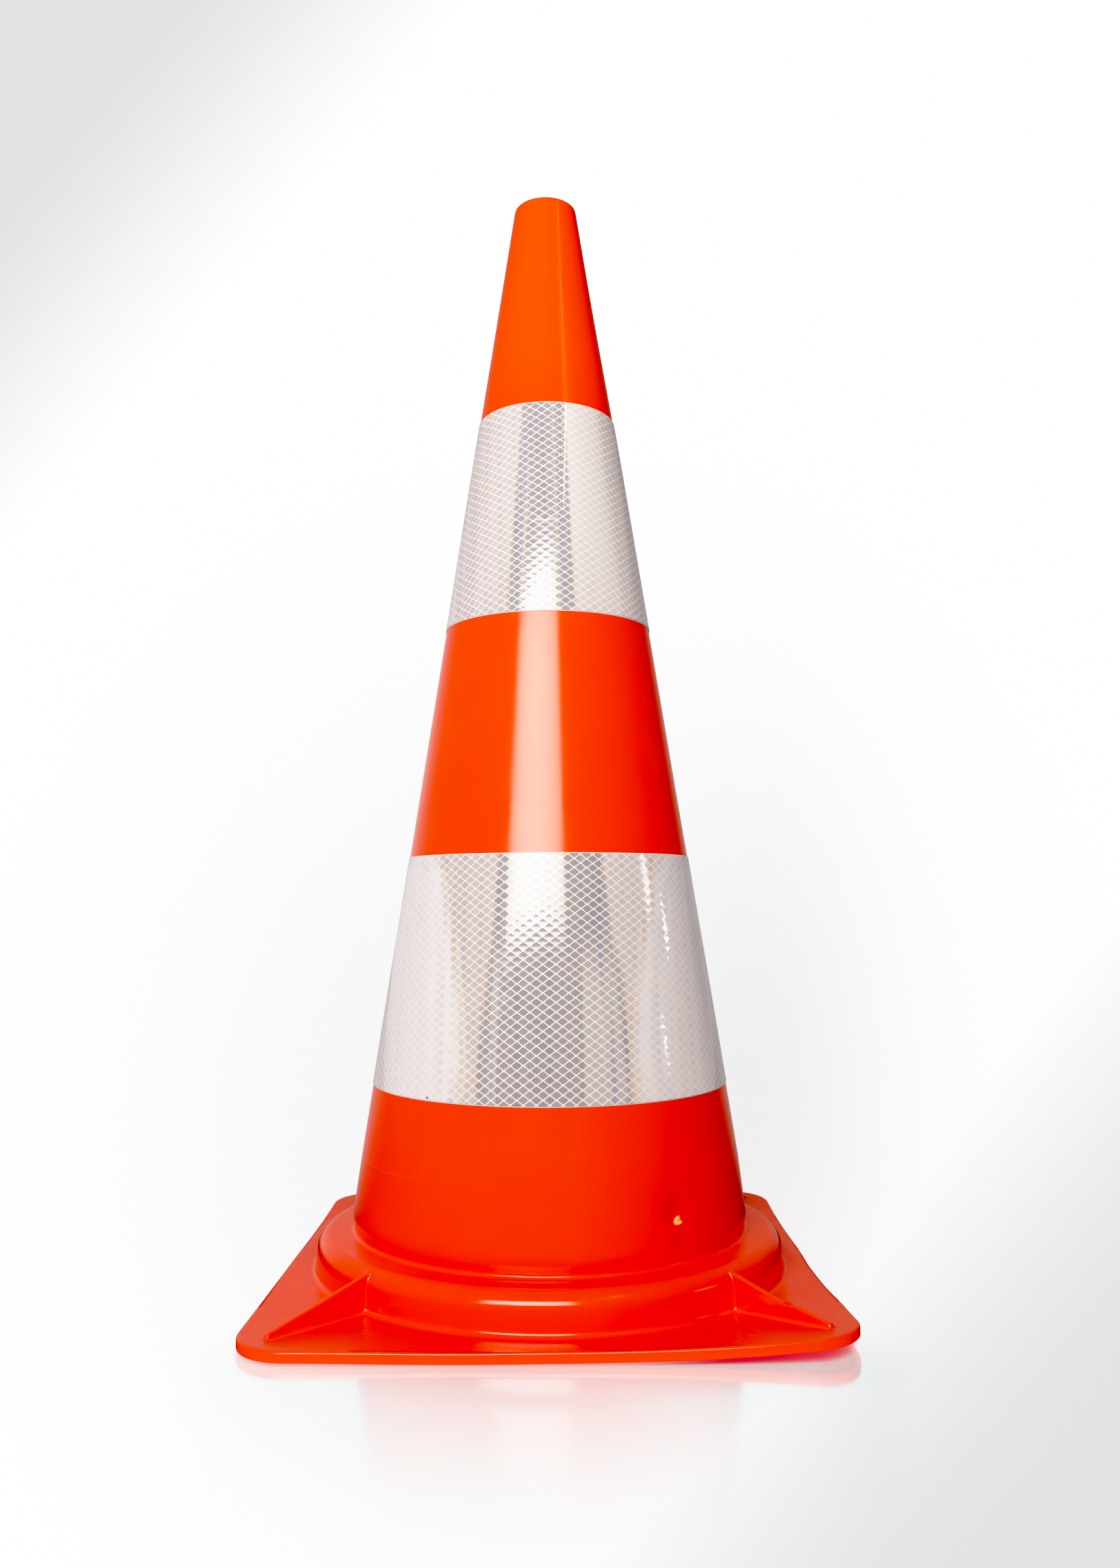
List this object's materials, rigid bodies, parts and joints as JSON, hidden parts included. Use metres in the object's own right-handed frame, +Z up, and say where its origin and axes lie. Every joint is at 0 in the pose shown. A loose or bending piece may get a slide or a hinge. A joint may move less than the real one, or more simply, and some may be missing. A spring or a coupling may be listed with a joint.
{
  "type": "traffic cone",
  "caption": "Hollow orange road cone with a square foot plate, raised collar, corner gussets and white diamond-pattern reflective bands round its wall.",
  "frame": {"origin": "centre of the square foot plate, on the ground plane", "axes": "+Z up along the cone's axis; X and Y parallel to the foot plate's sides, with the bands' seam at +Y"},
  "size_m": [0.3508, 0.3508, 0.75],
  "materials": {
    "orange_plastic": "glossy fluorescent orange moulded plastic with faint mould rings, fine scuffs and dust on the foot",
    "white_backing_film": "satin white film, seen as the diamond lattice and the band edges",
    "prismatic_film": "glossy clear prismatic retroreflective film, silvery white with faint peach and lilac streaks, embossed in small diamonds"
  },
  "bodies": {
    "root": {"cone_body": "orange_plastic", "lower_band_backing": "white_backing_film", "lower_band_face_film": "prismatic_film", "upper_band_backing": "white_backing_film", "upper_band_face_film": "prismatic_film"}
  },
  "joints": []
}
